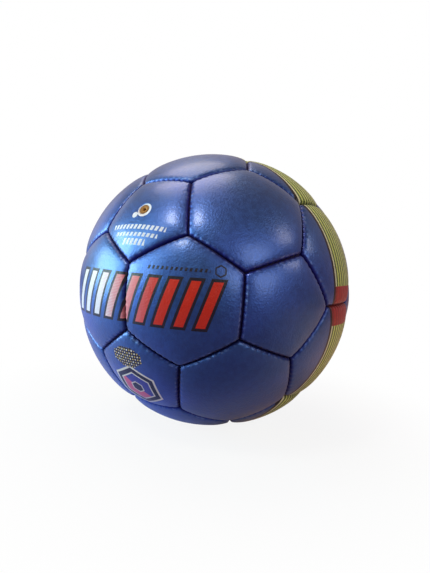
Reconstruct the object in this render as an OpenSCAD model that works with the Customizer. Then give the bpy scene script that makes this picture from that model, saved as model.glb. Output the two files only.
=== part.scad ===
// Match handball: a stitched shell of 12 pentagons and 20 hexagons over an
// inflated bladder, with a pull-out valve plug. The origin is the centre of the
// ball. X, Y and Z each leave through the middle of a seam between two hexagons,
// and the valve looks up and towards -Y.

/* [Ball] */
// Diameter over the crowns of opposite panels
ball_d = 188; // [180:1:192]
// How far the middle of a seam lies under the full sphere
seam_drop = 0.7; // [0.4:0.1:1.2]

/* [Panels] */
// Thickness of the outer skin
skin_t = 1.2; // [0.8:0.1:1.4]
// Thickness of the foam pad under the skin
foam_t = 2.2; // [1.8:0.1:3]
// Thickness of the cloth backing
cloth_t = 0.6; // [0.4:0.1:0.9]
// Depth of the bevel along a panel's edge
edge_bevel = 3; // [2:0.1:3.6]
// Depth of the flat flange below the place where the cloth turns into the seam
flange_h = 1.9; // [1.8:0.1:2.4]
// Gap between the two flanges of a seam
seam_gap = 0.2; // [0.1:0.05:0.4]

/* [Stitching] */
// Number of stitches along one seam
stitches = 9; // [5:2:9]
// Distance between two stitches
stitch_pitch = 3.8; // [3:0.1:3.9]
// Diameter of the sewing thread
thread_d = 0.7; // [0.4:0.1:0.8]
// How far the stitches lie above the flange's lower edge
stitch_up = 1.1; // [0.9:0.05:1.3]
// Diameter of a needle hole in a flange
needle_hole_d = 0.9; // [0.9:0.05:1.1]

/* [Bladder] */
// Wall of the bladder
bladder_t = 1.2; // [0.8:0.1:2]
// Diameter of the balancing weight opposite the valve
weight_d = 30; // [20:1:36]
// Thickness of the balancing weight
weight_t = 1.6; // [0.8:0.1:1.8]

/* [Valve] */
// Diameter of the rubber neck that shows in the valve panel
neck_d = 6; // [5.6:0.1:7]
// Diameter of the stem inside the bladder
stem_d = 9; // [8:0.5:12]
// How far the stem reaches into the bladder
stem_reach = 10; // [7:0.5:14]
// Diameter of the flange bonded to the bladder
valve_flange_d = 28; // [22:1:32]
// Thickness of that flange
valve_flange_t = 1.2; // [0.8:0.1:1.4]
// Diameter of the cloth ring behind the valve panel
patch_d = 34; // [33:1:38]
// Thickness of the cloth ring
patch_t = 0.5; // [0.3:0.1:0.6]
// Diameter of the pull-out plug
plug_d = 4; // [3.6:0.1:4.4]
// Diameter of the needle bore in the plug
needle_d = 2; // [1.8:0.1:2.2]
// Depth of the needle bore
needle_depth = 9; // [7:0.5:11]

/* [Hidden] */
$fn = 64;
// Clearance between two layers
layer_gap = 0.05;
// Clearance round the rubber neck and stem
neck_gap = 0.15;
// Radial clearance of the plug in its stem
plug_gap = 0.05;
// Share of its diameter that the thread keeps where it is drawn tight
drawn_share = 0.85;
// How far the neck and the plug lie below the skin
valve_sink = 0.3;
// Thickness of the stem's floor, which the plug stands on
stem_floor = 1.5;
// Diameter of the air hole in that floor
air_d = 2.4;
// Width of the lips that close behind the needle
lip_gap = 0.2;
// Diameter of the funnel at the mouth of the needle bore
funnel_d = 3;
// How far the bevel leans out from the crown, in degrees
bevel_lean = 45;
// How much of its point each corner of a panel loses
corner_cut = 0.6;
// Overrun of every cut
over = 1;

R = ball_d / 2;
// Depth of the bevel where the cloth turns into a seam, clear of the skin's own bevel
cloth_bevel = max(edge_bevel - foam_t, cloth_t) + 2 * layer_gap;
flange_r = R - seam_drop - skin_t - foam_t - cloth_t - cloth_bevel - flange_h;
stitch_r = flange_r + stitch_up;
stitch_angle = stitch_pitch / stitch_r * 180 / PI;
stitch_turns = [for (i = [0 : stitches - 1]) (i - (stitches - 1) / 2) * stitch_angle];
bladder_r = flange_r - layer_gap;
drawn_d = thread_d * drawn_share;
// From the middle of a seam to the thread that runs along one side of it
run_side = seam_gap / 2 + skin_t + cloth_t + 2 * layer_gap + drawn_d / 2;
valve_flange_r = bladder_r + layer_gap + valve_flange_t;
patch_r = valve_flange_r + layer_gap + patch_t;
neck_top = R - valve_sink;
stem_bottom = bladder_r - stem_reach;
plug_bottom = stem_bottom + stem_floor + layer_gap;
far = ball_d;

// The twelve pentagon centres are the corners of an icosahedron, and the twenty
// hexagon centres are the middles of its faces. All are unit directions.
golden = (1 + sqrt(5)) / 2;
signs = [1, -1];
pents = [for (s = signs, t = signs)
    each [unit([0, s * golden, t]), unit([s, 0, t * golden]), unit([s * golden, t, 0])]];
hexes = concat(
    [for (s = signs, t = signs)
        each [unit([s, t * golden * golden, 0]), unit([0, s, t * golden * golden]),
            unit([s * golden * golden, 0, t])]],
    [for (s = signs, t = signs, u = signs) unit([s, t, u])]
);
valve = unit([0, -golden, 1]);
plain_pents = [for (p = pents) if (p * valve < 0.99) p];

// Angle from a panel's centre to the middle of its seams
hex_tilt = acos(hexes[0] * neighbours(hexes[0], hexes)[0]) / 2;
pent_tilt = acos(pents[0] * neighbours(pents[0], hexes)[0]) - hex_tilt;

HEX_NAMES = [for (i = [1 : len(hexes)]) str("panel_hex_", i < 10 ? "0" : "", i)];
PENT_NAMES = [for (i = [1 : len(plain_pents)]) str("panel_pent_", i < 10 ? "0" : "", i)];

function unit(v) = v / norm(v);

// Directions next to v on the ball. Neighbours stand less than 60 degrees apart.
function neighbours(v, list) = [for (q = list) if (q * v > 0.5 && q * v < 0.99) q];

// How far a panel's crown is centred above the ball's centre, so that the crown
// touches the full sphere in its middle and lies seam_drop under it at a seam
function crown_lift(tilt) = let (r = R - seam_drop) (R * R - r * r) / (2 * (R - r * cos(tilt)));

// Angle from a panel's centre to its corners
function corner_tilt(sides, tilt) = atan(tan(tilt) / cos(180 / sides));

// Turns local +Z to a direction, with local +X on the side of another one.
module place(up, toward) {
    x = unit(toward - (toward * up) * up);
    y = cross(up, x);
    multmatrix([
        [x[0], y[0], up[0], 0],
        [x[1], y[1], up[1], 0],
        [x[2], y[2], up[2], 0],
        [0, 0, 0, 1]
    ]) children();
}

// Turns local +Z to a seam's middle, with +X across the seam and +Y along it.
module at_seam(tilt) rotate([0, tilt, 0]) children();

// Places something at every stitch of a seam, lying across it.
module at_stitches() {
    for (turn = stitch_turns)
        rotate([turn, 0, 0])
            translate([0, 0, stitch_r])
                rotate([0, 90, 0])
                    children();
}

// A sphere with its poles on the local Y axis
module turned_sphere(r) rotate([90, 0, 0]) sphere(r);

// One side of a panel, on its local +X: flat along the seam, and bevelled towards
// the crown. The bevel is part of a large sphere, centred on a line that runs across
// the seam through the crown's centre, so it keeps its distance to the seam.
module panel_side(tilt, crown, side, bevel) {
    low = sqrt(pow(crown, 2) - pow(side, 2)) - bevel;
    rotate([0, 90 + tilt, 0])
        intersection() {
            translate([-R, -R, side - 2 * R]) cube(2 * R);
            translate([0, 0, side - low * tan(bevel_lean)]) sphere(low / cos(bevel_lean));
        }
}

// A round blank for one panel: its crown sphere, down to the sphere of radius low_r,
// inside a cone that just takes the points off the panel's corners
module blank(sides, tilt, lift, crown, inset, low_r) {
    corner = corner_tilt(sides, tilt);
    reach = R * sin(corner) - corner_cut - inset / cos(180 / sides);
    intersection() {
        difference() {
            translate([0, 0, lift]) turned_sphere(crown);
            turned_sphere(low_r);
        }
        cylinder(h = 2 * R, r1 = 0, r2 = 2 * reach / cos(corner));
    }
}

// A wedge of the ball under one panel. depth and inset shrink it to the next layer.
module block(sides, tilt, depth, inset, bevel, low_r) {
    lift = crown_lift(tilt);
    crown = R - lift - depth;
    side = lift * sin(tilt) - seam_gap / 2 - inset;
    intersection_for (k = [0 : sides])
        if (k == 0)
            blank(sides, tilt, lift, crown, inset, low_r);
        else
            rotate([0, 0, k * 360 / sides])
                translate([0, 0, lift]) panel_side(tilt, crown, side, bevel);
}

module needle_holes(sides, tilt) {
    for (k = [1 : sides])
        rotate([0, 0, k * 360 / sides])
            at_seam(tilt) at_stitches()
                cylinder(h = 2 * (run_side + over), d = needle_hole_d, center = true);
}

// A layer of a panel that turns in along every seam, with its needle holes. depth
// and inset place it under the skin, and thick is its own thickness.
module tray(sides, tilt, depth, inset, bevel, thick) {
    difference() {
        block(sides, tilt, depth, inset, bevel, flange_r);
        block(sides, tilt, depth + thick, inset + thick, bevel, flange_r - over);
        needle_holes(sides, tilt);
    }
}

module skin(sides, tilt) tray(sides, tilt, 0, 0, edge_bevel, skin_t);

module cloth(sides, tilt)
    tray(sides, tilt, skin_t + foam_t, skin_t + layer_gap, cloth_bevel, cloth_t);

// The foam lies between the skin and the cloth, and ends where the skin turns in
module foam(sides, tilt) {
    top = skin_t + layer_gap;
    lift = crown_lift(tilt);
    difference() {
        block(sides, tilt, top, top, edge_bevel, flange_r);
        translate([0, 0, lift]) turned_sphere(R - lift - skin_t - foam_t + layer_gap);
    }
}

module at_hex(h) place(h, neighbours(h, pents)[0]) children();
module at_pent(p) place(p, neighbours(p, hexes)[0]) children();

// A round hole through a panel for the valve
module valve_hole(d) cylinder(h = far, d = d);

module hex_panel(i) color("royalblue") at_hex(hexes[i]) skin(6, hex_tilt);
module pent_panel(i) color("mediumblue") at_pent(plain_pents[i]) skin(5, pent_tilt);

module valve_panel() {
    color("dodgerblue") at_pent(valve) difference() {
        skin(5, pent_tilt);
        valve_hole(neck_d + 2 * neck_gap);
    }
}

// Places something in every panel of one half of the ball, either the half round
// the valve (half = 1) or the other one (half = -1)
module in_hexes(half) for (h = hexes) if (h * valve * half > 0) at_hex(h) children();
module in_pents(half) for (p = plain_pents) if (p * valve * half > 0) at_pent(p) children();

module foam_valve_half() {
    color("white") {
        in_hexes(1) foam(6, hex_tilt);
        in_pents(1) foam(5, pent_tilt);
        at_pent(valve) difference() {
            foam(5, pent_tilt);
            valve_hole(neck_d + 2 * neck_gap);
        }
    }
}

module foam_far_half() {
    color("white") {
        in_hexes(-1) foam(6, hex_tilt);
        in_pents(-1) foam(5, pent_tilt);
    }
}

module backing_valve_half() {
    color("gainsboro") {
        in_hexes(1) cloth(6, hex_tilt);
        in_pents(1) cloth(5, pent_tilt);
        at_pent(valve) difference() {
            cloth(5, pent_tilt);
            valve_hole(neck_d + 2 * neck_gap);
        }
    }
}

module backing_far_half() {
    color("gainsboro") {
        in_hexes(-1) cloth(6, hex_tilt);
        in_pents(-1) cloth(5, pent_tilt);
    }
}

// One seam's thread: a run along each flange, pressed flat against the cloth, and
// joined through every needle hole
module seam_thread() {
    span = (stitches - 1) * stitch_angle + 2 * thread_d / stitch_r * 180 / PI;
    for (side = signs)
        rotate([0, 90, 0])
            translate([0, 0, side * run_side])
                rotate_extrude(angle = span, start = 180 - span / 2)
                    translate([stitch_r, 0]) square([thread_d, drawn_d], center = true);
    at_stitches() cylinder(h = 2 * run_side, d = drawn_d, center = true);
}

module thread_hex_seams() {
    color("navy")
        for (i = [0 : len(hexes) - 1], j = [0 : len(hexes) - 1])
            if (i < j && hexes[i] * hexes[j] > 0.5)
                place(hexes[i], hexes[j]) at_seam(hex_tilt) seam_thread();
}

module thread_pent_seams() {
    color("navy")
        for (p = pents, h = neighbours(p, hexes))
            place(p, h) at_seam(pent_tilt) seam_thread();
}

// A round patch cut from a shell, lying on the sphere of radius inner
module shell_disc(inner, thick, d) {
    intersection() {
        difference() {
            sphere(inner + thick);
            sphere(inner);
        }
        cylinder(h = far, d = d);
    }
}

module bladder() {
    color("black") difference() {
        sphere(bladder_r);
        sphere(bladder_r - bladder_t);
        at_pent(valve) valve_hole(stem_d + 2 * layer_gap);
    }
}

module valve_stem() {
    color("darkgoldenrod") at_pent(valve) difference() {
        union() {
            shell_disc(bladder_r + layer_gap, valve_flange_t, valve_flange_d);
            translate([0, 0, stem_bottom])
                cylinder(h = valve_flange_r - valve_flange_t / 2 - stem_bottom, d = stem_d);
            translate([0, 0, bladder_r]) cylinder(h = neck_top - bladder_r, d = neck_d);
        }
        translate([0, 0, stem_bottom + stem_floor]) cylinder(h = far, d = plug_d + 2 * plug_gap);
        translate([0, 0, stem_bottom - over]) cylinder(h = stem_floor + 2 * over, d = air_d);
    }
}

module valve_patch() {
    color("white") at_pent(valve) difference() {
        shell_disc(valve_flange_r + layer_gap, patch_t, patch_d);
        valve_hole(neck_d + 2 * neck_gap);
    }
}

module valve_plug() {
    funnel_h = (funnel_d - needle_d) / 2;
    color("orange") at_pent(valve) difference() {
        translate([0, 0, plug_bottom]) cylinder(h = neck_top - plug_bottom, d = plug_d);
        translate([0, 0, neck_top - needle_depth]) cylinder(h = needle_depth + over, d = needle_d);
        translate([0, 0, neck_top - funnel_h])
            cylinder(h = 2 * funnel_h, d1 = needle_d, d2 = 2 * funnel_d - needle_d);
        translate([-needle_d / 2, -lip_gap / 2, plug_bottom - over])
            cube([needle_d, lip_gap, neck_top - needle_depth - plug_bottom + 2 * over]);
    }
}

module balance_weight() {
    color("dimgray") at_pent(-valve) shell_disc(bladder_r + layer_gap, weight_t, weight_d);
}

for (i = [0 : len(HEX_NAMES) - 1])
    hex_panel(i);
for (i = [0 : len(PENT_NAMES) - 1])
    pent_panel(i);
valve_panel();
foam_valve_half();
foam_far_half();
backing_valve_half();
backing_far_half();
thread_hex_seams();
thread_pent_seams();
bladder();
valve_stem();
valve_patch();
valve_plug();
balance_weight();
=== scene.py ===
import math

import bpy
import numpy as np
from mathutils import Matrix, Vector


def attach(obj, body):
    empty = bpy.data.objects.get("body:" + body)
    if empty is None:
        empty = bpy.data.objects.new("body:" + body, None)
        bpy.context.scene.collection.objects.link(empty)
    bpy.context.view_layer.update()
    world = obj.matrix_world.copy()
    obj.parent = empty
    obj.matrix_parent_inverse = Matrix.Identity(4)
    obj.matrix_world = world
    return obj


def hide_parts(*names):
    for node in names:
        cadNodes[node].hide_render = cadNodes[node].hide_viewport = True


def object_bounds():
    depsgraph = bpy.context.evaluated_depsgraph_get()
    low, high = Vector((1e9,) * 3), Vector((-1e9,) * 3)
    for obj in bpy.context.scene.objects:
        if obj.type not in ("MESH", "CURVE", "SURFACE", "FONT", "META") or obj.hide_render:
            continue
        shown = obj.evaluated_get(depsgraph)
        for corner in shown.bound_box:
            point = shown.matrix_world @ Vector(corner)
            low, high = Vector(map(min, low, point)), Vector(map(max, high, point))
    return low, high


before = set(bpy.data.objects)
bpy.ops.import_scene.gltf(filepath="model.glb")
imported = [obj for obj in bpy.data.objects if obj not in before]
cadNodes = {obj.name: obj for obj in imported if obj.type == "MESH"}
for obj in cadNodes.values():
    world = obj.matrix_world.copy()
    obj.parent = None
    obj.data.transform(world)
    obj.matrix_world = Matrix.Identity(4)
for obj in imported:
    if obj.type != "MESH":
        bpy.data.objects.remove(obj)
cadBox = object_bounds()
print("frame loaded, CAD nodes:", len(cadNodes))

mm = 0.001  # the shapes below are worked out in millimetres

ball = {
    "radius": 94.0,  # over the crowns of the panels
    "seamDrop": 0.7,  # from that full sphere down to a seam
    "handSpread": 0.35,  # how far a corner that isn't listed strays from its true place
    "cornerLimit": 1.5,  # the most that any corner strays
    "seed": 7,
}

panel = {
    "alongSeam": 52,  # columns along one seam
    "edgeRows": (0.04, 0.1, 0.2, 0.32, 0.5, 0.74, 1.02, 1.36, 1.75, 2.2, 2.7, 3.25, 3.9,
                 4.6, 5.4, 6.3, 7.4, 8.7, 10.2),  # distance of the outer rows from the seam
    "innerRows": 11,  # rows from there to the middle
    "footSteps": (0.3, 0.65, 1.0),  # rows of the edge, as shares of its way down
    "backRows": (2.6, 5.0, 9.0),  # rows of the skin's inner face, from the seam
    "rollStart": 0.1,  # the roll begins this far from the seam
    "rollWidth": 2.1,
    "rollDepth": 1.55,
    "rollRound": 0.45,  # share of the roll that is elliptic; the rest is a power
    "rollPower": 2.4,
    "shoulderWidth": 15.0,
    "shoulderDepth": 1.3,
    "cornerPower": 2.6,  # the power by which the drops of two sides are added
    "stitchPitch": 3.8,
    "stitchStart": 0.25,  # share of a pitch by which the row of stitches is shifted
    "puckerWidth": 3.7,
    "puckerDepth": 0.75,
    "puckerSharpness": 1.5,  # power of the cosine along the seam
    "puckerFade": 1.6,  # power of the fade away from the seam
    "pull": (0.55, 1.25),  # how hard a seam was pulled, least and most
    "uneven": 0.25,  # share of a pucker that comes and goes along the seam
    "unevenLengths": (5.3, 2.1),  # a radian of its two sines
    "dentDepth": 0.16,
    "dentFade": 6.0,  # the dents fade out from here to the seam
    "footRadius": 88.9,  # the skin's edge goes down to here inside a seam
    "skin": 1.1,
    "valveHole": 3.15,  # radius of the hole round the valve's neck
    "valveLip": 0.35,
    "valveLipWidth": 0.9,
}

dents = {
    "waves": 9,
    "pitch": 26.0,
    "spread": (1.5, 5.0),  # a wave turns this many radians in a pitch
    "gain": 1.6,
    "seedStep": 50,
}

# Corners that were measured on the real ball, as directions from its centre
measuredCorners = (
    (-0.010, -0.978, 0.209), (0.330, -0.856, 0.397), (0.658, -0.726, 0.197),
    (0.653, -0.731, -0.196), (0.324, -0.859, -0.396), (-0.005, -0.979, -0.204),
    (-0.318, -0.863, 0.393), (-0.202, -0.660, 0.724), (0.188, -0.653, 0.734),
    (0.403, -0.322, 0.856), (0.735, -0.190, 0.651), (0.859, -0.394, 0.326),
    (0.980, -0.197, 0.002), (0.849, -0.415, -0.326), (0.749, -0.208, -0.629),
    (0.185, -0.640, -0.746), (-0.300, -0.869, -0.392),
)

same = 0.99  # two directions with a higher dot product are the same
nextTo = 0.4  # two pentagon centres with a higher one are neighbours


def unit(v):
    v = np.asarray(v, float)
    return v / np.linalg.norm(v, axis=-1, keepdims=True)


# The net of the ball: pentagon centres are the corners of an icosahedron, hexagon
# centres are the middles of its faces, in the order of the CAD nodes' numbers. A panel's
# corner lies a third of the way from one pentagon centre to the next.
golden = (1 + 5 ** 0.5) / 2
signs = (1, -1)
pents = unit([v for s in signs for t in signs
              for v in ((0, s * golden, t), (s, 0, t * golden), (s * golden, t, 0))])
hexes = unit([v for s in signs for t in signs
              for v in ((s, t * golden ** 2, 0), (0, s, t * golden ** 2), (s * golden ** 2, 0, t))]
             + [(s, t, u) for s in signs for t in signs for u in signs])
valveCentre = unit((0, -golden, 1))
plainPents = np.array([p for p in pents if p @ valveCentre < same])
trueCorners = unit([2 * p + q for p in pents for q in pents if nextTo < p @ q < same])

# Every corner strays a little, as on any hand-stitched ball: measured ones as they
# were found, the others by chance
chance = np.random.default_rng(ball["seed"])
stray = chance.normal(0, ball["handSpread"] / ball["radius"], trueCorners.shape)
for target in unit(measuredCorners):
    nearest = np.argmax(trueCorners @ target)
    stray[nearest] = target - trueCorners[nearest]
size = np.linalg.norm(stray, axis=1, keepdims=True)
stray *= np.minimum(1, ball["cornerLimit"] / ball["radius"] / np.maximum(size, 1e-9))
corners = unit(trueCorners + stray)
skewWay = (0.3, 0.5, 0.8)  # runs along no panel's axis


# A panel's corners as directions, anticlockwise as seen from outside
def cornersOf(centre, count):
    found = corners[np.argsort(-(trueCorners @ centre))[:count]]
    side = unit(np.cross(centre, skewWay))
    up = np.cross(centre, side)
    return found[np.argsort(np.arctan2(found @ up, found @ side))]


# A smooth field from about -1 to 1: a mean of sines, each along its own chance direction
def softWaves(directions, seed):
    own = np.random.default_rng(seed)
    total = 0
    for _ in range(dents["waves"]):
        way = (unit(own.normal(size=3)) * ball["radius"] / dents["pitch"]
               * own.uniform(*dents["spread"]))
        total = total + np.sin(directions @ way + own.uniform(0, 2 * math.pi))
    return total / dents["waves"] * dents["gain"]


# A mesh from arrays of points (in metres), four-cornered and three-cornered faces
def makeMesh(name, points, quads, triangles):
    mesh = bpy.data.meshes.new(name)
    loops = np.concatenate([quads.ravel(), triangles.ravel()]).astype(np.int32)
    starts = np.concatenate([np.arange(len(quads)) * 4,
                             len(quads) * 4 + np.arange(len(triangles)) * 3]).astype(np.int32)
    mesh.vertices.add(len(points))
    mesh.vertices.foreach_set("co", points.astype(np.float32).ravel())
    mesh.loops.add(len(loops))
    mesh.loops.foreach_set("vertex_index", loops)
    mesh.polygons.add(len(starts))
    mesh.polygons.foreach_set("loop_start", starts)
    mesh.update(calc_edges=True)
    mesh.validate()
    mesh.shade_smooth()
    made = bpy.data.objects.new(name, mesh)
    bpy.context.scene.collection.objects.link(made)
    return made


# A UV map whose two coordinates are given for each point of the mesh
def addMap(piece, name, values):
    mesh = piece.data
    index = np.zeros(len(mesh.loops), np.int32)
    mesh.loops.foreach_get("vertex_index", index)
    layer = mesh.uv_layers.new(name=name)
    layer.data.foreach_set("uv", values[index].astype(np.float32).ravel())


# A named value for each point of the mesh
def addValue(piece, name, values):
    attribute = piece.data.attributes.new(name, "FLOAT", "POINT")
    attribute.data.foreach_set("value", values.astype(np.float32))


# One panel as a closed skin. A point runs along a great circle from the panel's
# middle (or the rim of its hole) to a point of the edge. Its height is the crown
# sphere's, less a drop towards each side, and less the soft dents. A drop is a roll (part
# ellipse, part power), a cubed shoulder and the stitches' cosine pucker, which all fade
# with the distance to that side. The sides' drops are added as powers, so that the
# nearest counts most.
# It also gives each point's distance from its seam and its share of the ridge between
# two stitches: 0 at a stitch, 1 half way to the next.
def panelSurface(centre, count, seed, hole=0.0):
    c = cornersOf(centre, count)
    nxt = np.roll(c, -1, axis=0)
    inward = unit(np.cross(c, nxt))
    along = unit(nxt - c)
    tilt = math.asin((inward @ centre).mean())  # from the middle to a seam
    radius, low = ball["radius"], ball["radius"] - ball["seamDrop"]
    lift = (radius ** 2 - low ** 2) / (2 * (radius - low * math.cos(tilt)))
    crown = radius - lift

    share = (np.arange(panel["alongSeam"]) / panel["alongSeam"])[None, :, None]
    edge = unit(c[:, None] * (1 - share) + nxt[:, None] * share).reshape(-1, 3)
    side = np.repeat(np.arange(count), panel["alongSeam"])
    if hole:
        spoke = unit(edge - (edge @ centre)[:, None] * centre)
        start = unit(centre + spoke * hole / radius)
    else:
        start = np.repeat(centre[None], len(edge), axis=0)
    depth = (start * inward[side]).sum(1) * radius  # distance of the start from its seam

    def directions(distance):
        b = 1 - distance / depth
        return unit(start[None] * (1 - b)[..., None] + edge[None] * b[..., None])

    rows = np.array(panel["edgeRows"])[:, None] * np.ones(len(edge))
    parts = panel["innerRows"] + (0 if hole else 1)
    steps = (np.arange(1, panel["innerRows"] + 1) / parts)[:, None]
    inner = rows[-1] + (depth - rows[-1]) * steps
    outerDistance = np.concatenate([rows, inner])[::-1]  # from the middle to the edge

    own = np.random.default_rng(seed)
    pull = own.uniform(*panel["pull"], count)
    phase = own.uniform(0, 2 * math.pi, (2, count))

    def height(d):
        distance = np.maximum(d @ inward.T * radius, 0)
        place = d @ along.T * radius  # along the seam, from its middle
        t = np.clip(1 - (distance - panel["rollStart"]) / panel["rollWidth"], 0, 1)
        roll = panel["rollDepth"] * (panel["rollRound"] * (1 - np.sqrt(1 - t ** 2))
                                     + (1 - panel["rollRound"]) * t ** panel["rollPower"])
        t = np.clip(1 - distance / panel["shoulderWidth"], 0, 1)
        shoulder = panel["shoulderDepth"] * t ** 3
        t = np.clip(1 - distance / panel["puckerWidth"], 0, 1)
        longer, shorter = panel["unevenLengths"]
        uneven = np.sin(place / longer + phase[0]) * np.sin(place / shorter + phase[1])
        fade = 1 - panel["uneven"] + panel["uneven"] * uneven
        turns = place / panel["stitchPitch"] + panel["stitchStart"]
        wave = 0.5 + 0.5 * np.cos(2 * math.pi * turns)
        pucker = (panel["puckerDepth"] * pull * fade * wave ** panel["puckerSharpness"]
                  * t ** panel["puckerFade"])
        drops = roll + shoulder + pucker
        drop = (drops ** panel["cornerPower"]).sum(-1) ** (1 / panel["cornerPower"])
        away = d @ centre
        crownHeight = lift * away + np.sqrt(crown ** 2 - lift ** 2 * (1 - away ** 2))
        calm = np.clip(distance.min(-1) / panel["dentFade"], 0, 1)
        dent = panel["dentDepth"] * (softWaves(d, seed + dents["seedStep"]) * calm - calm)
        if hole:
            fromHole = np.arccos(np.clip(away, -1, 1)) * radius - hole
            drop = drop + panel["valveLip"] * np.exp(-(fromHole / panel["valveLipWidth"]) ** 2)
        ridge = np.take_along_axis(1 - wave, distance.argmin(-1)[..., None], -1)[..., 0]
        return crownHeight - drop + dent, distance.min(-1), ridge

    d = directions(outerDistance)
    h, near, ridge = height(d)
    layers = [d * h[..., None]]
    nearest, ridges = [near], [ridge]
    foot = panel["footRadius"]
    for part in panel["footSteps"]:  # straight down into the seam
        layers.append((d[-1] * (h[-1] + (foot - h[-1]) * part)[:, None])[None])
        nearest.append(np.zeros((1, len(edge))))
        ridges.append(np.zeros((1, len(edge))))
    heel = panel["rollStart"] + panel["skin"]  # the inner face begins this far from the seam
    back = np.array([heel, heel, *panel["backRows"]])[:, None] * np.ones(len(edge))
    back = np.concatenate([back, back[-1:] + (depth - back[-1:]) * (1.0 if hole else 0.5)])
    db = directions(back)
    hb, nearBack, ridgeBack = height(db)
    hb = hb - panel["skin"]
    hb[0] = foot
    layers.append(db * hb[..., None])
    nearest.append(nearBack)
    ridges.append(ridgeBack)
    grid = np.concatenate(layers) * mm
    nearest, ridges = np.concatenate(nearest), np.concatenate(ridges)

    total, wide = grid.shape[:2]
    number = np.arange(total * wide).reshape(total, wide)
    a, b = number[:-1], number[1:]
    quads = np.stack([a, b, np.roll(b, -1, 1), np.roll(a, -1, 1)], -1).reshape(-1, 4)
    points = grid.reshape(-1, 3)
    nearest, ridges = nearest.ravel(), ridges.ravel()
    if hole:
        a, b = number[-1], number[0]
        rim = np.stack([a, b, np.roll(b, -1), np.roll(a, -1)], -1)
        quads = np.concatenate([quads, rim])
        triangles = np.zeros((0, 3), int)
    else:
        top, topNear, topRidge = height(centre[None])
        points = np.concatenate([points, centre[None] * top[0] * mm,
                                 centre[None] * (top[0] - panel["skin"]) * mm])
        nearest = np.concatenate([nearest, topNear, topNear])
        ridges = np.concatenate([ridges, topRidge, topRidge])
        first, last = number[0], number[-1]
        n = total * wide
        triangles = np.concatenate([
            np.stack([np.full(wide, n), first, np.roll(first, -1)], -1),
            np.stack([np.full(wide, n + 1), np.roll(last, -1), last], -1)])
    return points, quads, triangles, nearest, ridges


softEdge = 0.13  # half the width of a print's soft rim
noiseRange = (0.3, 0.7)  # nearly all values of a noise lie between these


# Draws nodes: every call adds one or more, and takes numbers or outputs
class Wires:
    def __init__(self, tree):
        self.tree = tree

    def put(self, socket, value):
        if isinstance(value, bpy.types.NodeSocket):
            self.tree.links.new(value, socket)
        else:
            socket.default_value = value

    def node(self, kind, settings=None, **sockets):
        made = self.tree.nodes.new(kind)
        for key, value in (settings or {}).items():
            setattr(made, key, value)
        for key, value in sockets.items():
            self.put(made.inputs[key], value)
        return made

    def math(self, operation, *values):
        made = self.tree.nodes.new("ShaderNodeMath")
        made.operation = operation
        for socket, value in zip(made.inputs, values):
            self.put(socket, value)
        return made.outputs[0]

    def add(self, a, b):
        return self.math("ADD", a, b)

    def minus(self, a, b):
        return self.math("SUBTRACT", a, b)

    def times(self, a, b):
        return self.math("MULTIPLY", a, b)

    def either(self, a, b):
        return self.math("MAXIMUM", a, b)

    def length(self, x, y):
        return self.math("SQRT", self.add(self.times(x, x), self.times(y, y)))

    # Dot product of a vector with a fixed direction
    def along(self, vector, way):
        made = self.node("ShaderNodeVectorMath", {"operation": "DOT_PRODUCT"})
        self.put(made.inputs[0], vector)
        self.put(made.inputs[1], way)
        return made.outputs["Value"]

    # start below low, end above high, smooth in between
    def rise(self, value, low, high, start=0.0, end=1.0):
        made = self.node("ShaderNodeMapRange", {"interpolation_type": "SMOOTHSTEP"}, Value=value)
        for key, number in zip(("From Min", "From Max", "To Min", "To Max"),
                               (low, high, start, end)):
            made.inputs[key].default_value = number
        return made.outputs["Result"]

    # 1 above an edge, with a soft rim
    def over(self, value, edge, soft=softEdge):
        return self.rise(value, edge - soft, edge + soft)

    # 1 below an edge, with a soft rim
    def under(self, value, edge, soft=softEdge):
        return self.rise(value, edge - soft, edge + soft, 1.0, 0.0)

    # 1 between two edges, with soft rims
    def within(self, value, low, high, soft=softEdge):
        return self.times(self.over(value, low, soft), self.under(value, high, soft))

    def noise(self, place, scale, detail):
        return self.node("ShaderNodeTexNoise", Vector=place, Scale=scale,
                         Detail=detail).outputs["Fac"]

    # A noise spread from start to end
    def spread(self, noise, start, end):
        return self.rise(noise, *noiseRange, start, end)

    def mix(self, mask, a, b, blend="MIX"):
        made = self.node("ShaderNodeMix", {"data_type": "RGBA", "blend_type": blend})
        for socket, value in ((made.inputs[0], mask), (made.inputs[6], a), (made.inputs[7], b)):
            self.put(socket, value)
        return made.outputs[2]

    def blendShaders(self, share, a, b):
        made = self.node("ShaderNodeMixShader", Fac=share)
        self.put(made.inputs[1], a.outputs[0])
        self.put(made.inputs[2], b.outputs[0])
        return made.outputs[0]


def rgb(r, g, b):
    return (r, g, b, 1.0)


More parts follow.
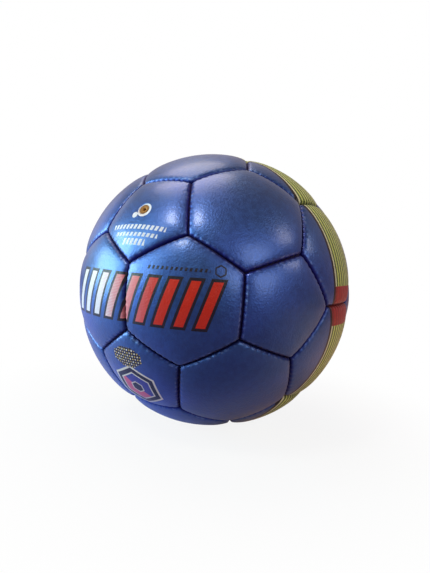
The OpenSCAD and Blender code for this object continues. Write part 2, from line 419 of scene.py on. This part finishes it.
leather = {
    "base": rgb(0.043, 0.124, 0.38),
    "metallic": 0.75,
    "roughness": 0.42,
    "printCoat": 0.06,  # the prints are duller
    "coatRoughness": 0.25,
    "sheen": 0.12,
    "sheenTint": rgb(1.0, 0.72, 0.78),
    "sheenRoughness": 0.5,
    "driftScale": 19.0, "driftTone": (0.84, 1.14), "driftHue": (0.492, 0.508),
    "mottleScale": 330.0, "mottleTone": (-0.07, 0.07), "mottleRoughness": (-0.04, 0.05),
    "fleckScale": 2300.0, "fleckRange": (0.62, 0.75), "fleckTone": 0.28,
    "grain": 0.5, "grainHeight": 0.00022,  # strength, and height in metres
    "pebbleScale": 900.0, "pebbleSoftness": 0.5,
    "mottleHeight": 0.7,  # height of the mottling, of 1 for a pebble
    "valleyRange": (0.12, 0.55),
    "valleyGloss": 0.72,  # coat between the pebbles of the grain, of 1 on top of them
    "seamStart": 0.1,  # distances from the seam, in mm
    # painted shade in a seam's groove: a darker tone, and a colour mixed towards deep navy, over
    # these widths
    "seamShade": 0.4, "shadeEnd": 2.0,
    "seamShadeNavy": rgb(0.010, 0.028, 0.34), "navyShadeEnd": 2.2,
    "seamGloss": 0.1, "dullEnd": 1.8,
    # the edge beside a seam is worn lighter in spots, and painted lighter in dashes between the
    # stitches as a painted highlight
    "wearAndGlintShare": 0.36,
    "wearAndPaintedGlint": rgb(0.24, 0.38, 0.72),
    "wearAndGlintEdges": (1.1, 1.9, 0.45),  # from, to, and half the width of the soft rims
    "wearAndGlintRoughness": 0.2,
    "patchScale": 150.0,
    "spotRange": (0.57, 0.68), "spotWear": 0.7,
    "glintDashRange": (0.46, 0.58), "ridgeRange": (0.12, 0.6),
}


def newGroup(name, inputs, outputs):
    tree = bpy.data.node_groups.new(name, "ShaderNodeTree")
    for label, kind, value in inputs:
        socket = tree.interface.new_socket(name=label, in_out="INPUT", socket_type=kind)
        socket.default_value = value
    for label, kind in outputs:
        tree.interface.new_socket(name=label, in_out="OUTPUT", socket_type=kind)
    return tree, tree.nodes.new("NodeGroupInput"), tree.nodes.new("NodeGroupOutput")


# Pearl finish: slow drift and small mottling of the tone, flecks, a fine pebble grain in the
# normal and the gloss, and painted shade where the skin turns into a seam: darker, mixed towards
# deep navy, with a duller coat. The edge beside it is worn lighter in spots, and carries a
# painted highlight in dashes along the ridges between the stitches.
def pearlGroup():
    tree, given, out = newGroup("pearlFinish",
                                (("Color", "NodeSocketColor", leather["base"]),
                                 ("Grain", "NodeSocketFloat", leather["grain"]),
                                 ("Roughness", "NodeSocketFloat", leather["roughness"])),
                                (("Color", "NodeSocketColor"), ("Roughness", "NodeSocketFloat"),
                                 ("Normal", "NodeSocketVector"), ("Seam", "NodeSocketFloat"),
                                 ("Gloss", "NodeSocketFloat")))
    w = Wires(tree)
    place = w.node("ShaderNodeTexCoord").outputs["Object"]
    drift = w.noise(place, leather["driftScale"], 2.0)
    mottle = w.noise(place, leather["mottleScale"], 3.0)
    fleck = w.noise(place, leather["fleckScale"], 1.0)
    patchy = w.noise(place, leather["patchScale"], 4.0)
    pebble = w.node("ShaderNodeTexVoronoi", {"feature": "SMOOTH_F1"}, Vector=place,
                    Scale=leather["pebbleScale"],
                    Smoothness=leather["pebbleSoftness"]).outputs["Distance"]
    seam = w.node("ShaderNodeAttribute", {"attribute_name": "seam"}).outputs["Fac"]
    ridge = w.node("ShaderNodeAttribute", {"attribute_name": "ridge"}).outputs["Fac"]
    start = leather["seamStart"]
    # painted shade: the tone darkens into a seam's groove
    dark = w.rise(seam, start, leather["shadeEnd"], leather["seamShade"], 1.0)
    tone = w.add(w.spread(drift, *leather["driftTone"]), w.spread(mottle, *leather["mottleTone"]))
    flecks = w.rise(fleck, *leather["fleckRange"], 0.0, leather["fleckTone"])
    tone = w.times(w.add(tone, flecks), dark)
    # painted shade: the colour turns deep navy into a seam's groove
    navyShaded = w.mix(w.rise(seam, start, leather["navyShadeEnd"]), leather["seamShadeNavy"],
                 given.outputs["Color"])
    color = w.node("ShaderNodeHueSaturation", Color=navyShaded, Value=tone,
                   Hue=w.spread(drift, *leather["driftHue"])).outputs["Color"]
    # worn lighter spots beside a seam, and a painted highlight: lighter dashes on the ridges
    # between the stitches
    spots = w.rise(patchy, *leather["spotRange"], 0.0, leather["spotWear"])
    paintedGlintDashes = w.times(w.rise(patchy, *leather["glintDashRange"]), w.rise(ridge, *leather["ridgeRange"]))
    wearAndGlintAmount = w.times(w.add(spots, paintedGlintDashes), leather["wearAndGlintShare"])
    wearAndPaintedGlint = w.times(w.within(seam, *leather["wearAndGlintEdges"]), wearAndGlintAmount)
    color = w.mix(wearAndPaintedGlint, color, leather["wearAndPaintedGlint"])
    rough = w.add(given.outputs["Roughness"], w.spread(mottle, *leather["mottleRoughness"]))
    rough = w.add(rough, w.times(wearAndPaintedGlint, leather["wearAndGlintRoughness"]))
    gloss = w.times(w.rise(pebble, *leather["valleyRange"], 1.0, leather["valleyGloss"]),
                    w.rise(seam, start, leather["dullEnd"], leather["seamGloss"], 1.0))
    bump = w.node("ShaderNodeBump", Strength=given.outputs["Grain"],
                  Distance=leather["grainHeight"],
                  Height=w.add(pebble, w.times(mottle, leather["mottleHeight"])))
    for label, value in (("Color", color), ("Roughness", rough), ("Seam", dark),
                         ("Normal", bump.outputs["Normal"]), ("Gloss", gloss)):
        w.put(out.inputs[label], value)
    return tree


pearlFinish = pearlGroup()


# A panel's material: the pearl finish, with a print laid over it where there is one
def panelMaterial(name, drawPrint=None):
    material = bpy.data.materials.new(name)
    material.use_nodes = True
    w = Wires(material.node_tree)
    shader = material.node_tree.nodes["Principled BSDF"]
    finish = w.node("ShaderNodeGroup", {"node_tree": pearlFinish})
    shader.inputs["Coat Roughness"].default_value = leather["coatRoughness"]
    shader.inputs["Sheen Weight"].default_value = leather["sheen"]
    shader.inputs["Sheen Tint"].default_value = leather["sheenTint"]
    shader.inputs["Sheen Roughness"].default_value = leather["sheenRoughness"]
    w.put(shader.inputs["Roughness"], finish.outputs["Roughness"])
    w.put(shader.inputs["Normal"], finish.outputs["Normal"])
    if drawPrint is None:
        w.put(shader.inputs["Base Color"], finish.outputs["Color"])
        w.put(shader.inputs["Coat Weight"], finish.outputs["Gloss"])
        shader.inputs["Metallic"].default_value = leather["metallic"]
        return material
    printMap = w.node("ShaderNodeUVMap", {"uv_map": "print"})
    split = w.node("ShaderNodeSeparateXYZ", Vector=printMap.outputs["UV"])
    ink, mask = drawPrint(w, split.outputs["X"], split.outputs["Y"])
    # the print also takes the painted shade of the seam's groove
    seam = finish.outputs["Seam"]
    shade = w.node("ShaderNodeCombineColor", Red=seam, Green=seam, Blue=seam).outputs["Color"]
    ink = w.mix(1.0, ink, shade, "MULTIPLY")
    coat = w.rise(mask, 0.0, 1.0, 1.0, leather["printCoat"])
    w.put(shader.inputs["Base Color"], w.mix(mask, finish.outputs["Color"], ink))
    w.put(shader.inputs["Metallic"], w.rise(mask, 0.0, 1.0, leather["metallic"], 0.0))
    w.put(shader.inputs["Coat Weight"], w.times(finish.outputs["Gloss"], coat))
    return material


band = {
    "half": 16.4,  # from the band's middle to its outer edge
    "offset": 1.8,  # its middle lies this far behind the great circle y = 0
    "spare": 1.2,  # a panel that comes this near to the band is printed too
    "line": 2.2,  # dark line along each edge
    "cream": 1.5,  # cream line inside it
    "pitch": 3.6,  # from one pinstripe to the next
    "light": 1.8,  # width of a light stripe
    "soft": 0.2,
    "block": 12.0,  # half the length of the red block
    "streakEdges": (0.2, 2.0), "streakTone": (0.75, 1.15),  # the stripes show through the red
    "lineColor": rgb(0.008, 0.004, 0.004),
    "creamColor": rgb(0.88, 0.88, 0.48),
    "lightColor": rgb(0.76, 0.87, 0.18),
    "darkColor": rgb(0.075, 0.14, 0.006),
    "blockColor": rgb(0.42, 0.012, 0.0004),
}


# The pinstripe band: across it, a line, a cream line and light and dark stripes in turn;
# along it, a red block on either side of the ball
def bandPrint(w, u, v):
    inside = band["half"] - band["line"]
    across = w.math("ABSOLUTE", v)
    phase = w.math("MODULO", w.add(v, inside - band["cream"]), band["pitch"])
    light = w.within(phase, band["pitch"] - band["light"], band["pitch"], band["soft"])
    stripes = w.mix(light, band["darkColor"], band["lightColor"])
    ink = w.mix(w.within(across, inside - band["cream"], inside), stripes, band["creamColor"])
    streak = w.rise(phase, *band["streakEdges"], *band["streakTone"])
    red = w.node("ShaderNodeHueSaturation", Color=band["blockColor"],
                 Value=streak).outputs["Color"]
    ink = w.mix(w.under(w.math("ABSOLUTE", u), band["block"]), ink, red)
    ink = w.mix(w.within(across, inside, band["half"]), ink, band["lineColor"])
    return ink, w.under(across, band["half"])


hexLean = (0.5, 0.866)  # cosine and sine of 60 degrees


# Distance from the middle in a hexagon's own measure: alike along each hexagon line
def hexDistance(w, x, y):
    x, y = w.math("ABSOLUTE", x), w.math("ABSOLUTE", y)
    return w.either(w.add(w.times(x, hexLean[0]), w.times(y, hexLean[1])), x)


# Slanted ticks: 1 between the two edges of a tick in every pitch. The shift keeps the
# remainder's argument above 0 all along the row.
def slantedTicks(w, u, v, given):
    leaning = w.minus(u, w.times(v, given["tickSlant"]))
    phase = w.math("MODULO", w.add(leaning, given["tickShift"]), given["tickPitch"])
    return w.within(phase, *given["tick"])


strip = {
    "left": -50.0, "right": 56.5, "half": 14.2,  # the printed strip, round the front
    "bars": 9,
    "bar": 4.35,  # half the width of a bar, its border included
    "slant": 0.34,
    "border": 1.7,
    "white": rgb(0.94, 0.86, 0.84),
    "pink": rgb(0.84, 0.22, 0.22),
    "red": rgb(0.76, 0.028, 0.004),
    "outline": rgb(0.010, 0.008, 0.014),
    "pinkFrom": -22.0, "redFrom": -2.0, "redAll": 24.0,
    "dotTurn": 3.6,  # radians of the dots' sines in a millimetre
    "pinkDots": 9.0, "redDots": 3.0,  # how far a dot runs ahead of its colour
    "ticksLeft": 14.0, "ticksRight": 50.0, "ticksUp": 18.2, "ticksHalf": 1.0,
    "tick": (0.5, 1.9), "tickPitch": 2.7, "tickSlant": 0.3, "tickShift": 40.0,
    "ringPlace": (55.5, 18.4), "ringSize": (2.3, 3.1),
}


# The front strip: a row of slanted bars, each with a dark border, which run from white
# through pink dots to red, with a row of fine dark ticks and a small hexagon ring above
def stripPrint(w, u, v):
    pitch = (strip["right"] - strip["left"]) / strip["bars"]
    slanted = w.minus(u, w.times(v, strip["slant"]))
    fromLeft = w.add(slanted, -strip["left"])
    fromGap = w.math("PINGPONG", fromLeft, pitch / 2)  # 0 in the middle between two bars
    toSides = w.add(fromGap, strip["bar"] - pitch / 2)
    toEnds = w.minus(strip["half"], w.math("ABSOLUTE", v))
    inside = w.math("MINIMUM", w.math("MINIMUM", toSides, toEnds),
                    w.math("MINIMUM", fromLeft, w.minus(strip["right"], slanted)))
    dots = w.times(w.math("SINE", w.times(w.add(u, v), strip["dotTurn"])),
                   w.math("SINE", w.times(w.minus(u, v), strip["dotTurn"])))
    pinkPlace = w.add(u, w.times(dots, strip["pinkDots"]))
    redPlace = w.add(u, w.times(dots, strip["redDots"]))
    ink = w.mix(w.rise(pinkPlace, strip["pinkFrom"], strip["redFrom"]),
                strip["white"], strip["pink"])
    ink = w.mix(w.rise(redPlace, strip["redFrom"], strip["redAll"]), ink, strip["red"])
    ink = w.mix(w.under(inside, strip["border"]), ink, strip["outline"])
    up, half = strip["ticksUp"], strip["ticksHalf"]
    marks = w.times(w.within(u, strip["ticksLeft"], strip["ticksRight"]),
                    w.within(v, up - half, up + half))
    marks = w.times(marks, slantedTicks(w, u, v, strip))
    x, y = strip["ringPlace"]
    away = hexDistance(w, w.add(u, -x), w.add(v, -y))
    marks = w.either(marks, w.within(away, *strip["ringSize"]))
    return w.mix(marks, ink, strip["outline"]), w.either(w.over(inside, 0.0), marks)


valvePrint = {
    "ring": (0.5, -0.5, 4.5),  # place and outer radius of the white ring
    "tab": (-5.0, -3.9, 1.9),
    "rows": ((-11.4, 1.35, 19.0), (-15.9, 1.15, 15.0),
             (-20.2, 1.8, 8.0)),  # height, half width, half length
    "tick": (0.45, 2.25), "tickPitch": 2.9, "tickSlant": 0.3, "tickShift": 60.0,
    "white": rgb(0.84, 0.80, 0.80),
}


# Marks round the valve: a white ring with a tab, and rows of slanted white ticks
def valveMarks(w, u, v):
    mask = 0.0
    for x, y, radius in (valvePrint["ring"], valvePrint["tab"]):
        away = w.length(w.add(u, -x), w.add(v, -y))
        mask = w.either(mask, w.under(away, radius))
    tick = slantedTicks(w, u, v, valvePrint)
    for up, half, length in valvePrint["rows"]:
        row = w.times(w.within(u, -length, length), w.within(v, up - half, up + half))
        mask = w.either(mask, w.times(row, tick))
    return valvePrint["white"], mask


badge = {
    "place": (-1.5, -6.5),
    "lines": ((13.4, 14.8), (9.6, 10.5), (3.4, 4.2)),  # cream lines, in the hexagon's measure
    "size": 14.8,
    "core": 3.8, "field": 10.0, "fieldSoft": 0.1,  # the two-coloured field lies between them
    "splitSoft": 0.15,
    "cream": rgb(0.92, 0.80, 0.62),
    "navy": rgb(0.006, 0.008, 0.035),
    "pink": rgb(0.86, 0.13, 0.22),
    "blue": rgb(0.05, 0.06, 0.34),
    "gold": rgb(0.70, 0.50, 0.12),
    "patch": (-2.0, 15.8, 10.5, 6.4),  # dotted patch: place and half sizes
    "patchCut": 0.72,  # its corners are cut where this share of both sides together is 1
    "patchSoft": 0.02,
    "pitch": 1.8,
    "dot": 0.5,
    "dotSoft": 0.12,
    "dotShift": 50,  # the dots are counted from this many pitches off, so none is below 0
}


# The badge: nested hexagons in cream, navy, pink and blue, below a dotted patch
def badgePrint(w, u, v):
    x, y = badge["place"]
    du, dv = w.add(u, -x), w.add(v, -y)
    away = hexDistance(w, du, dv)
    field = w.mix(w.over(w.add(du, dv), 0.0, badge["splitSoft"]), badge["pink"], badge["blue"])
    ink = w.mix(w.over(away, badge["field"], badge["fieldSoft"]), field, badge["navy"])
    ink = w.mix(w.under(away, badge["core"], badge["fieldSoft"]), ink, badge["navy"])
    for low, high in badge["lines"]:
        ink = w.mix(w.within(away, low, high), ink, badge["cream"])
    x, y, halfX, halfY = badge["patch"]
    shareX = w.times(w.math("ABSOLUTE", w.add(u, -x)), 1 / halfX)
    shareY = w.times(w.math("ABSOLUTE", w.add(v, -y)), 1 / halfY)
    corner = w.times(w.add(shareX, shareY), badge["patchCut"])
    patch = w.under(w.either(w.either(shareX, shareY), corner), 1.0, badge["patchSoft"])
    pitch = badge["pitch"]
    column = w.math("DIVIDE", w.add(u, badge["dotShift"] * pitch), pitch)
    row = w.math("DIVIDE", w.add(v, badge["dotShift"] * pitch), pitch)
    counted = w.add(w.math("FLOOR", column), w.math("FLOOR", row))
    odd = w.math("GREATER_THAN", w.math("MODULO", counted, 2.0), 0.5)
    cellX, cellY = w.add(w.math("FRACT", column), -0.5), w.add(w.math("FRACT", row), -0.5)
    dot = w.times(w.length(cellX, cellY), pitch)
    speck = w.mix(odd, badge["cream"], badge["gold"])
    speck = w.mix(w.under(dot, badge["dot"], badge["dotSoft"]), badge["navy"], speck)
    return w.mix(patch, ink, speck), w.either(w.under(away, badge["size"]), patch)


bluePanel = panelMaterial("bluePearlSkin")
bandPanel = panelMaterial("pinstripeSkin", bandPrint)
stripPanel = panelMaterial("barStripSkin", stripPrint)
valvePanel = panelMaterial("valveSkin", valveMarks)
badgePanel = panelMaterial("badgeSkin", badgePrint)
print("panel finishes made")

# How far off each banded panel was printed: its centre, then the band's shift, its turn
# and its bow
bandShifts = (
    ((1, 0, golden), 1.7, -0.115, 0.0),
    ((golden ** 2, 0, 1), 0.9, 0.047, 0.0),
    ((golden ** 2, 0, -1), -0.1, -0.035, 0.0032),
    ((1, 0, -golden), 4.0, 0.10, 0.0),
)
# The other banded panels: the shift is a size times the sine, and the turn a size times
# the cosine, of a pace times the panel's number; the bow is the same for all
otherShifts = {"shift": (1.1, 3.1), "turn": (0.05, 2.3), "bow": 0.0015}


# The same angle, between half a turn back and half a turn on
def wrapped(angle):
    return (angle + math.pi) % (2 * math.pi) - math.pi


# Print coordinates of a banded panel, in mm: along the great circle y = 0 from the middle
# of the nearer red block, and across from the band's middle, which lies behind y = 0
def bandMap(points, centre, index):
    d = unit(points)
    middle = math.atan2(centre[2], centre[0])
    turn = wrapped(np.arctan2(d[:, 2], d[:, 0]) - middle)
    size, pace = otherShifts["shift"]
    turnSize, turnPace = otherShifts["turn"]
    off = (size * math.sin(pace * index), turnSize * math.cos(turnPace * index),
           otherShifts["bow"])
    for place, *given in bandShifts:
        if unit(place) @ centre > same:
            off = given
    along = turn * ball["radius"]
    across = np.arcsin(np.clip(d[:, 1], -1, 1)) * ball["radius"] - band["offset"]
    across = across + off[0] + off[1] * along + off[2] * along ** 2
    mirrored = math.pi if abs(middle) > math.pi / 2 else 0.0
    fromBlock = wrapped(turn + middle - mirrored) * ball["radius"]
    return np.stack([fromBlock, across], -1)


# Print coordinates of the two front hexagons, in mm: round the Z axis, and up
def frontMap(points):
    d = unit(points)
    turned, up = np.arctan2(d[:, 0], -d[:, 1]), np.arcsin(np.clip(d[:, 2], -1, 1))
    return np.stack([turned, up], -1) * ball["radius"]


# Print coordinates of one panel, in mm from its middle: to +X, and up towards +Z
def flatMap(points, centre):
    up = unit(np.array((0, 0, 1.0)) - centre[2] * centre)
    side = np.cross(up, centre)
    d = unit(points)
    return np.stack([d @ side, d @ up], -1) * ball["radius"]


badgeCentre = unit((0, -golden, -1))
frontLimit = -0.9  # a hexagon whose centre lies further to the front carries the strip
bandReach = math.sin((band["half"] + band["spare"]) / ball["radius"])
firstSeed = 100
allPanels = ([("panel_hex_%02d" % (i + 1), c, 6) for i, c in enumerate(hexes)]
             + [("panel_pent_%02d" % (i + 1), c, 5) for i, c in enumerate(plainPents)]
             + [("valve_panel", valveCentre, 5)])
for index, (nodeName, centre, count) in enumerate(allPanels):
    isValve = nodeName == "valve_panel"
    hole = panel["valveHole"] if isValve else 0.0
    points, quads, triangles, nearest, ridges = panelSurface(centre, count, firstSeed + index, hole)
    shortName = nodeName.replace("panel_", "").replace("_panel", "")
    piece = makeMesh("skin_" + shortName, points, quads, triangles)
    addValue(piece, "seam", nearest)
    addValue(piece, "ridge", ridges)
    across = cornersOf(centre, count)[:, 1]
    banded = across.min() < bandReach and across.max() > -bandReach
    if isValve:
        addMap(piece, "print", flatMap(points, centre))
        material = valvePanel
    elif centre @ badgeCentre > same:
        addMap(piece, "print", flatMap(points, centre))
        material = badgePanel
    elif centre[1] < frontLimit:
        addMap(piece, "print", frontMap(points))
        material = stripPanel
    elif banded:
        addMap(piece, "print", bandMap(points, centre, index))
        material = bandPanel
    else:
        material = bluePanel
    piece.data.materials.append(material)
    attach(piece, "ball")
    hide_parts(nodeName)
print("panels made:", len(allPanels))


# Inner layers and the valve keep their CAD shapes, and get finishes of their own
finishes = {
    "foam": {"color": rgb(0.80, 0.79, 0.74), "roughness": 0.9, "scale": 900.0, "depth": 0.3},
    "cloth": {"color": rgb(0.62, 0.60, 0.54), "roughness": 0.95, "scale": 1400.0, "depth": 0.5},
    "thread": {"color": rgb(0.03, 0.04, 0.12), "roughness": 0.6, "scale": 2600.0, "depth": 0.5},
    "bladder": {"color": rgb(0.02, 0.02, 0.022), "roughness": 0.5, "scale": 260.0,
                "depth": 0.15},
    "valveRubber": {"color": rgb(0.34, 0.14, 0.025), "roughness": 0.42, "scale": 700.0,
                    "depth": 0.2},
    "plugRubber": {"color": rgb(0.42, 0.19, 0.035), "roughness": 0.38, "scale": 800.0,
                   "depth": 0.2},
}
plain = {
    "broader": 12,  # the broad mottling's scale is the fine one's over this
    "fineTone": (-0.12, 0.1), "broadTone": (0.88, 1.12),
    "roughness": (-0.06, 0.05),
    "height": 0.0001,  # of the bump, in metres
}


# A plain finish: its colour mottled by a fine and a broad noise, darker and smoother in
# the hollows, and a bump of the fine noise
def innerMaterial(name):
    given = finishes[name]
    material = bpy.data.materials.new(name)
    material.use_nodes = True
    w = Wires(material.node_tree)
    shader = material.node_tree.nodes["Principled BSDF"]
    place = w.node("ShaderNodeTexCoord").outputs["Object"]
    fine = w.noise(place, given["scale"], 4.0)
    broad = w.noise(place, given["scale"] / plain["broader"], 2.0)
    tone = w.add(w.spread(fine, *plain["fineTone"]), w.spread(broad, *plain["broadTone"]))
    color = w.node("ShaderNodeHueSaturation", Color=given["color"], Value=tone)
    least, most = (given["roughness"] + change for change in plain["roughness"])
    bump = w.node("ShaderNodeBump", Strength=given["depth"], Distance=plain["height"],
                  Height=fine)
    w.put(shader.inputs["Base Color"], color.outputs["Color"])
    w.put(shader.inputs["Roughness"], w.spread(fine, least, most))
    w.put(shader.inputs["Normal"], bump.outputs["Normal"])
    return material


finishOf = {
    "foam_valve_half": "foam", "foam_far_half": "foam",
    "backing_valve_half": "cloth", "backing_far_half": "cloth", "valve_patch": "cloth",
    "thread_hex_seams": "thread", "thread_pent_seams": "thread",
    "bladder": "bladder", "balance_weight": "bladder",
    "valve_stem": "valveRubber", "valve_plug": "plugRubber",
}
innerMaterials = {name: innerMaterial(name) for name in finishes}
for nodeName, name in finishOf.items():
    mesh = cadNodes[nodeName].data
    mesh.materials.clear()
    mesh.materials.append(innerMaterials[name])
print("inner layers and valve finished")


# Soft lamps, each in its own direction from the ball and turned to face it
lampsAway = 1.0
lamps = (
    {"name": "window", "way": (-0.835, -0.522, 0.174), "size": 0.60, "power": 6.6,
     "color": (0.62, 0.95, 1.0)},
    {"name": "frontWindow", "way": (-0.510, -0.790, 0.342), "size": 0.60, "power": 2.9,
     "color": (0.58, 0.96, 1.0)},
    {"name": "leftDoor", "way": (-0.937, 0.165, 0.309), "size": 0.50, "power": 0.2,
     "color": (0.84, 0.88, 1.0)},
    {"name": "highWindow", "way": (-0.107, -0.606, 0.788), "size": 0.22, "power": 2.6,
     "color": (1.0, 0.97, 0.84)},
    {"name": "backCeiling", "way": (-0.345, 0.115, 0.932), "size": 0.66, "power": 3.1,
     "color": (1.0, 0.80, 0.64)},
    {"name": "roomSide", "way": (0.819, -0.435, 0.345), "size": 0.55, "power": 1.6,
     "color": (0.84, 0.96, 1.0)},
    {"name": "rightCeiling", "way": (0.800, 0.140, 0.585), "size": 0.30, "power": 0.85,
     "color": (1.0, 0.86, 0.66)},
)
for lamp in lamps:
    light = bpy.data.lights.new(lamp["name"], "AREA")
    light.shape, light.size = "DISK", lamp["size"]
    light.energy, light.color = lamp["power"], lamp["color"]
    holder = bpy.data.objects.new(lamp["name"], light)
    bpy.context.scene.collection.objects.link(holder)
    way = unit(lamp["way"])
    holder.location = way * lampsAway
    holder.rotation_euler = Vector(way).to_track_quat("Z", "Y").to_euler()

white = rgb(1, 1, 1)
room = {
    "fill": rgb(1.0, 0.52, 0.80), "fillStrength": 0.12,
    "wallWay": (-0.53, 0.85, 0.0),  # the pale wall stands behind the ball
    "wallEdges": (-0.1, 0.9),
    "wallShare": (0.04, 0.31),  # its part in the gloss, away from it and towards it
}
world = bpy.data.worlds.new("studio")
bpy.context.scene.world = world
world.use_nodes = True
w = Wires(world.node_tree)
world.node_tree.nodes.clear()
ray = w.node("ShaderNodeLightPath")
toWall = w.along(w.node("ShaderNodeTexCoord").outputs["Generated"], room["wallWay"])
wallShare = w.rise(toWall, *room["wallEdges"], *room["wallShare"])
seen = w.either(ray.outputs["Is Camera Ray"],
                w.either(w.times(ray.outputs["Is Glossy Ray"], wallShare),
                         ray.outputs["Is Transmission Ray"]))
fill = w.node("ShaderNodeBackground", Color=room["fill"], Strength=room["fillStrength"])
backdrop = w.node("ShaderNodeBackground", Color=white, Strength=1.0)
w.put(w.node("ShaderNodeOutputWorld").inputs["Surface"], w.blendShaders(seen, fill, backdrop))

# The floor is pale, white where the camera sees it, and keeps the ball's soft shadow. What
# it gives back to the ball is warm at the right, bluer at the left and dim in front.
stand = {
    "size": 3.0, "sides": 96,
    "shade": 0.12, "near": 0.10, "far": 0.24,
    "grainScale": 40.0, "paleTones": (rgb(0.86, 0.86, 0.87), rgb(0.9, 0.9, 0.9)),
    "middle": 0.01,  # nearer to the middle a direction counts for less
    "right": rgb(0.98, 0.73, 0.62),
    "left": rgb(0.44, 0.50, 0.96), "leftWay": (-0.85, -0.53, 0.0), "leftEdges": (-0.3, 0.4),
    "front": rgb(0.19, 0.12, 0.25), "frontWay": (0.53, -0.85, 0.0), "frontEdges": (0.2, 0.9),
}
low = cadBox[0].z
sides = stand["sides"]
around = np.linspace(0, 2 * math.pi, sides, endpoint=False)
rim = np.stack([np.cos(around) * stand["size"], np.sin(around) * stand["size"],
                np.full(sides, low)], -1)
floor = makeMesh("floor", np.concatenate([rim, [[0, 0, low]]]), np.zeros((0, 4), int),
                 np.stack([np.full(sides, sides), np.arange(sides),
                           np.roll(np.arange(sides), -1)], -1))
paleFloor = bpy.data.materials.new("paleFloor")
paleFloor.use_nodes = True
w = Wires(paleFloor.node_tree)
paleFloor.node_tree.nodes.clear()
fromCamera = w.node("ShaderNodeLightPath").outputs["Is Camera Ray"]
grain = w.node("ShaderNodeTexNoise", Scale=stand["grainScale"]).outputs["Fac"]
pale = w.mix(grain, *stand["paleTones"])
place = w.node("ShaderNodeTexCoord").outputs["Object"]
away = w.node("ShaderNodeVectorMath", {"operation": "LENGTH"})
w.put(away.inputs[0], place)
away = away.outputs["Value"]


# How far a floor point lies along a level direction, as a share of its distance from the
# middle
def towards(way):
    return w.math("DIVIDE", w.along(place, way), w.either(away, stand["middle"]))


toLeft = w.rise(towards(stand["leftWay"]), *stand["leftEdges"])
toFront = w.rise(towards(stand["frontWay"]), *stand["frontEdges"])
bounce = w.mix(toFront, w.mix(toLeft, stand["right"], stand["left"]), stand["front"])
paint = w.node("ShaderNodeBsdfDiffuse", Color=w.mix(fromCamera, bounce, pale))
glow = w.node("ShaderNodeEmission", Color=white, Strength=1.0)
shade = w.rise(away, stand["near"], stand["far"], 1 - stand["shade"], 1.0)
w.put(w.node("ShaderNodeOutputMaterial").inputs["Surface"],
      w.blendShaders(w.times(fromCamera, shade), paint, glow))
floor.data.materials.append(paleFloor)

# The photograph's viewpoint: right, up and back are the camera's own directions
view = {
    "right": (0.84297, 0.53433, 0.06247),
    "up": (-0.10129, 0.04361, 0.99390),
    "back": (0.52834, -0.84415, 0.09088),
    "away": 0.3315,
    "lens": 28.92,
    "sensor": 36.0,
    "shiftX": 0.00115,
    "shiftY": 0.0058,
    "clip": (0.01, 20.0),
}
lens = bpy.data.cameras.new("photoCamera")
lens.lens, lens.sensor_width = view["lens"], view["sensor"]
lens.shift_x, lens.shift_y = view["shiftX"], view["shiftY"]
lens.clip_start, lens.clip_end = view["clip"]
camera = bpy.data.objects.new("photoCamera", lens)
bpy.context.scene.collection.objects.link(camera)
turn = Matrix([view["right"], view["up"], view["back"]]).transposed().to_4x4()
camera.matrix_world = Matrix.Translation(Vector(view["back"]).normalized() * view["away"]) @ turn
bpy.context.scene.camera = camera
bpy.context.scene.view_settings.view_transform = "Standard"
print("floor, light and camera set")
